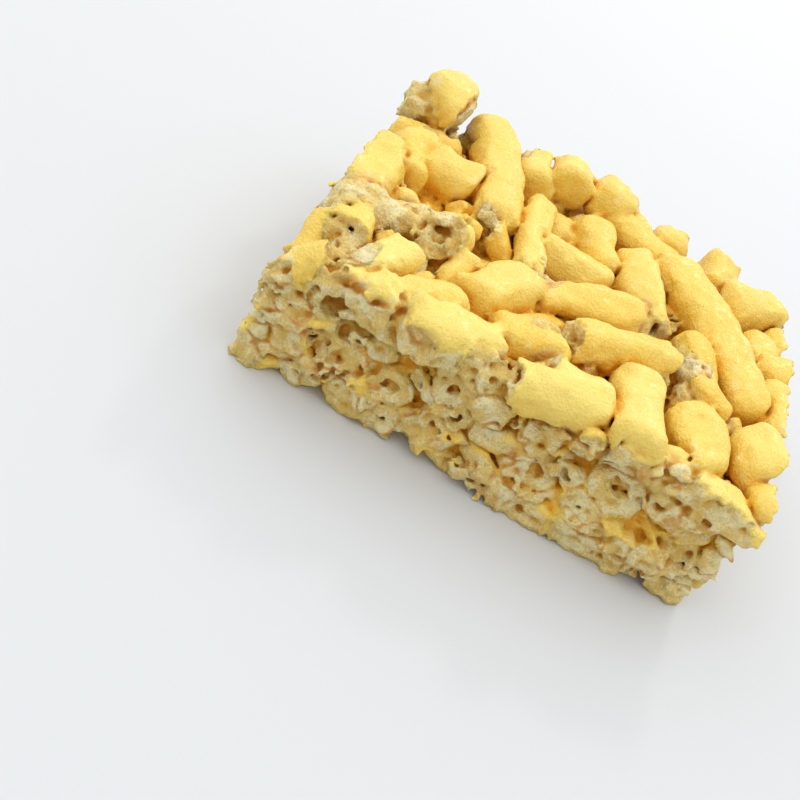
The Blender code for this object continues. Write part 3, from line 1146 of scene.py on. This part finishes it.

# Skin: how far its sides are warmer as painted shade, where it is scraped, where it has pale specks, and
# where creases and recesses turn amber as painted shade and pooled syrup.
# Each pair is where a look starts and where it is full, on a noise or on a mark of the mesh.
WARM_SHARE = 0.85
SCRAPED_BLOTCH = (0.56, 0.7)
SCRAPED_CREASE = (0.52, 0.36)
SCRAPED_SHARE = 0.6
SPECK_GRAIN = (0.42, 0.62)
SPECK_SHARE = 0.6
AMBER_CREASE = (0.47, 0.72)
AMBER_RECESS = (0.52, 0.76)

# Crumb: where it is white, where it has pits, where syrup has soaked in between strips, and where its creases
# and recesses take painted shade in the pore and syrup colours
WHITE_GRAIN = 0.6
WHITE_NOISE = (0.7, 0.92)
FINE_PITS = (0.5, 0.34)
FINE_PIT_SHARE = 0.35
PIT_SHADE_CREASE = (0.5, 0.68)
PIT_SHADE_RECESS = (0.54, 0.66)
LINE_SEAM = (0.35, 1.0)
LINE_BLOTCH = (0.36, 0.6)
DEEP_SHADE_CREASE = (0.62, 0.8)
DEEP_SHADE_RECESS = (0.62, 0.78)

# Where the skin is dull, and how rough shiny and dull dough are
DULL_NOISE = (0.85, 1.15)
ROUGHNESS = {"To Min": 0.25, "To Max": 0.7}

# How light scatters in the dough, its gloss and its coat of syrup
SHADING = {
    "Subsurface Weight": 0.35,
    "Subsurface Radius": (1.0, 0.8, 0.4),
    "Subsurface Scale": 0.0009,
    "Specular IOR Level": 0.35,
    "Coat Weight": 0.2,
    "Coat Roughness": 0.2,
}


def noise_value(tree, place, looks):
    """The value of a noise."""
    return add_node(tree, "ShaderNodeTexNoise", Vector=place, **looks).outputs["Fac"]


def product(tree, first, second):
    """Two values multiplied."""
    return math_node(tree, "MULTIPLY", first, second)


def greater(tree, first, second):
    """The greater of two values."""
    return math_node(tree, "MAXIMUM", first, second)


def skin_colour(tree, blotch, grain, crease, recess):
    """The skin, warmer on its sides and undersides as painted shade, amber in creases and recesses as painted
    shade where syrup also gathers, and scraped where it stands out.
    """
    tint = attribute(tree, "tint")
    skin = mixed(tree, tint, GOLD, PALE_GOLD)
    skin = mixed(tree, greater(tree, product(tree, tint, -WARM_SHARE), 0.0), skin, WARM)
    # Painted shade: the skin's sides and undersides turn warmer
    skin = mixed(tree, product(tree, attribute(tree, "side_shade"), WARM_SHARE), skin, WARM)
    scraped = product(tree, ramp(tree, blotch, *SCRAPED_BLOTCH), ramp(tree, crease, *SCRAPED_CREASE))
    skin = mixed(tree, product(tree, scraped, SCRAPED_SHARE), skin, WHITE_CRUMB)
    skin = mixed(tree, product(tree, ramp(tree, grain, *SPECK_GRAIN), SPECK_SHARE), skin, PALE_GOLD)
    # Painted shade: creases and recesses turn amber, where syrup also gathers
    amber_pooled_and_shaded = greater(tree, ramp(tree, crease, *AMBER_CREASE), ramp(tree, recess, *AMBER_RECESS))
    return mixed(tree, amber_pooled_and_shaded, skin, AMBER)


def crumb_colour(tree, blotch, sponge, grain, crease, recess):
    """The crumb, paler in patches of noise, with syrup in its pores and between strips, and painted shade in
    the pore and syrup colours in its creases and recesses.
    """
    speckled = math_node(tree, "ADD", blotch, product(tree, grain, WHITE_GRAIN))
    inside = mixed(tree, ramp(tree, speckled, *WHITE_NOISE), CREAM, WHITE_CRUMB)
    fine_pits = product(tree, ramp(tree, sponge, *FINE_PITS), FINE_PIT_SHARE)
    # Painted shade: creases and recesses take the darker pore colour, on top of the fine pits
    pits_and_shade = greater(tree, ramp(tree, crease, *PIT_SHADE_CREASE), fine_pits)
    pits_and_shade = greater(tree, pits_and_shade, ramp(tree, recess, *PIT_SHADE_RECESS))
    inside = mixed(tree, pits_and_shade, inside, PORE_AND_SHADE)
    line = product(tree, ramp(tree, attribute(tree, "seam"), *LINE_SEAM), ramp(tree, blotch, *LINE_BLOTCH))
    # Painted shade: creases and recesses take the syrup colour, on top of the syrup lines between strips
    lines_and_deep_shade = greater(tree, line, ramp(tree, crease, *DEEP_SHADE_CREASE))
    lines_and_deep_shade = greater(tree, lines_and_deep_shade, ramp(tree, recess, *DEEP_SHADE_RECESS))
    return mixed(tree, lines_and_deep_shade, inside, SYRUP_AND_SHADE)


def dough_material():
    """Golden skin with a coat of syrup, and cream crumb where it is cut."""
    material = bpy.data.materials.new("glazed dough")
    material.use_nodes = True
    tree = material.node_tree
    shader = tree.nodes["Principled BSDF"]
    place = tree.nodes.new("ShaderNodeTexCoord").outputs["Object"]
    blotch, sponge, grain = (noise_value(tree, place, looks) for looks in (BLOTCH, PORES, GRAIN))
    crease, recess, crumb = (attribute(tree, name) for name in ("crease", "recess", "crumb"))
    skin = skin_colour(tree, blotch, grain, crease, recess)
    inside = crumb_colour(tree, blotch, sponge, grain, crease, recess)
    tree.links.new(mixed(tree, crumb, skin, inside), shader.inputs["Base Color"])

    # Syrup shines in spots, crumb is dull
    dull = greater(tree, crumb, ramp(tree, math_node(tree, "ADD", blotch, grain), *DULL_NOISE))
    rough = add_node(tree, "ShaderNodeMapRange", Value=dull, **ROUGHNESS)
    tree.links.new(rough.outputs["Result"], shader.inputs["Roughness"])

    # Grain on the skin and sponge in the crumb, as heights in metres
    fine = product(tree, grain, SKIN_GRAIN * MM)
    coarse = product(tree, product(tree, sponge, CRUMB_GRAIN * MM), crumb)
    height = math_node(tree, "ADD", fine, coarse)
    bump = add_node(tree, "ShaderNodeBump", Height=height, Strength=1.0, Distance=1.0)
    tree.links.new(bump.outputs["Normal"], shader.inputs["Normal"])
    for socket, value in SHADING.items():
        shader.inputs[socket].default_value = value
    return material


# The camera, as it stands in the photograph
CAMERA_PLACE = (-14.313, -140.988, 100.934)
CAMERA_LOOKS = (0.00297, 0.76694, -0.64171)
CAMERA_UP = (-0.50733, 0.55415, 0.65995)
CAMERA_LENS = 45.153
SENSOR = 36.0


def add_camera():
    """The camera, at the photograph's viewing angle."""
    data = bpy.data.cameras.new("camera")
    data.sensor_width = SENSOR
    data.lens = CAMERA_LENS
    data.clip_start = 0.005
    data.clip_end = 20
    looks = Vector(CAMERA_LOOKS).normalized()
    up = Vector(CAMERA_UP)
    up = (up - looks * up.dot(looks)).normalized()
    camera = bpy.data.objects.new("camera", data)
    turn = Matrix((looks.cross(up), up, -looks)).transposed().to_4x4()
    camera.matrix_world = Matrix.Translation(Vector(CAMERA_PLACE) * MM) @ turn
    bpy.context.scene.collection.objects.link(camera)
    bpy.context.scene.camera = camera


# The floor, how far it goes on each side and what it looks like
FLOOR_REACH = 3.0
FLOOR_COLOUR = (0.61, 0.625, 0.64, 1)
FLOOR_ROUGHNESS = 0.7

# The surround, and how bright it is from straight below to straight above
SKY_COLOUR = (0.98, 0.99, 1.0, 1)
SKY_STRENGTH = {"To Min": 0.44, "To Max": 1.26}

# The lights: name, place, size, power and colour, and the place that they face
LIGHTS = (
    ("overhead", (-0.08, 0.26, 0.46), 1.5, 4.3, (1.0, 0.98, 0.95)),
    ("sparkle", (0.10, 0.42, 0.36), 0.05, 0.3, (1.0, 0.97, 0.92)),
)
LIT_PLACE = (0, 0, 0.012)


def add_area_light(name, place, size, power, colour):
    """A soft square light that faces the bar."""
    data = bpy.data.lights.new(name, "AREA")
    data.shape = "SQUARE"
    data.size = size
    data.energy = power
    data.color = colour
    light = bpy.data.objects.new(name, data)
    light.location = place
    light.rotation_euler = (Vector(LIT_PLACE) - Vector(place)).to_track_quat("-Z", "Y").to_euler()
    bpy.context.scene.collection.objects.link(light)


def add_floor():
    """A plain pale floor."""
    mesh = bpy.data.meshes.new("floor")
    side = FLOOR_REACH
    points = [(-side, -side, 0), (side, -side, 0), (side, side, 0), (-side, side, 0)]
    mesh.from_pydata(points, [], [(0, 1, 2, 3)])
    floor = bpy.data.objects.new("floor", mesh)
    material = bpy.data.materials.new("floor")
    material.use_nodes = True
    shader = material.node_tree.nodes["Principled BSDF"]
    shader.inputs["Base Color"].default_value = FLOOR_COLOUR
    shader.inputs["Roughness"].default_value = FLOOR_ROUGHNESS
    mesh.materials.append(material)
    bpy.context.scene.collection.objects.link(floor)


def add_surround():
    """A pale surround that is brighter towards the top."""
    world = bpy.data.worlds.new("surround")
    world.use_nodes = True
    tree = world.node_tree
    background = tree.nodes["Background"]
    background.inputs["Color"].default_value = SKY_COLOUR
    facing = tree.nodes.new("ShaderNodeTexCoord").outputs["Generated"]
    height = add_node(tree, "ShaderNodeSeparateXYZ", Vector=facing).outputs["Z"]
    strength = add_node(tree, "ShaderNodeMapRange", Value=height, **SKY_STRENGTH)
    tree.links.new(strength.outputs["Result"], background.inputs["Strength"])
    bpy.context.scene.world = world


def add_stage():
    """The floor, the surround and the lights."""
    add_floor()
    add_surround()
    for name, place, size, power, colour in LIGHTS:
        add_area_light(name, place, size, power, colour)
    bpy.context.scene.view_settings.view_transform = "Standard"


def main():
    """Sets up the camera and the stage, and puts the looks in place of the solid."""
    add_camera()
    add_stage()
    material = dough_material()
    for piece in build_bar():
        piece.data.materials.append(material)
        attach(piece, "root")
        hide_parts(NODE)


main()
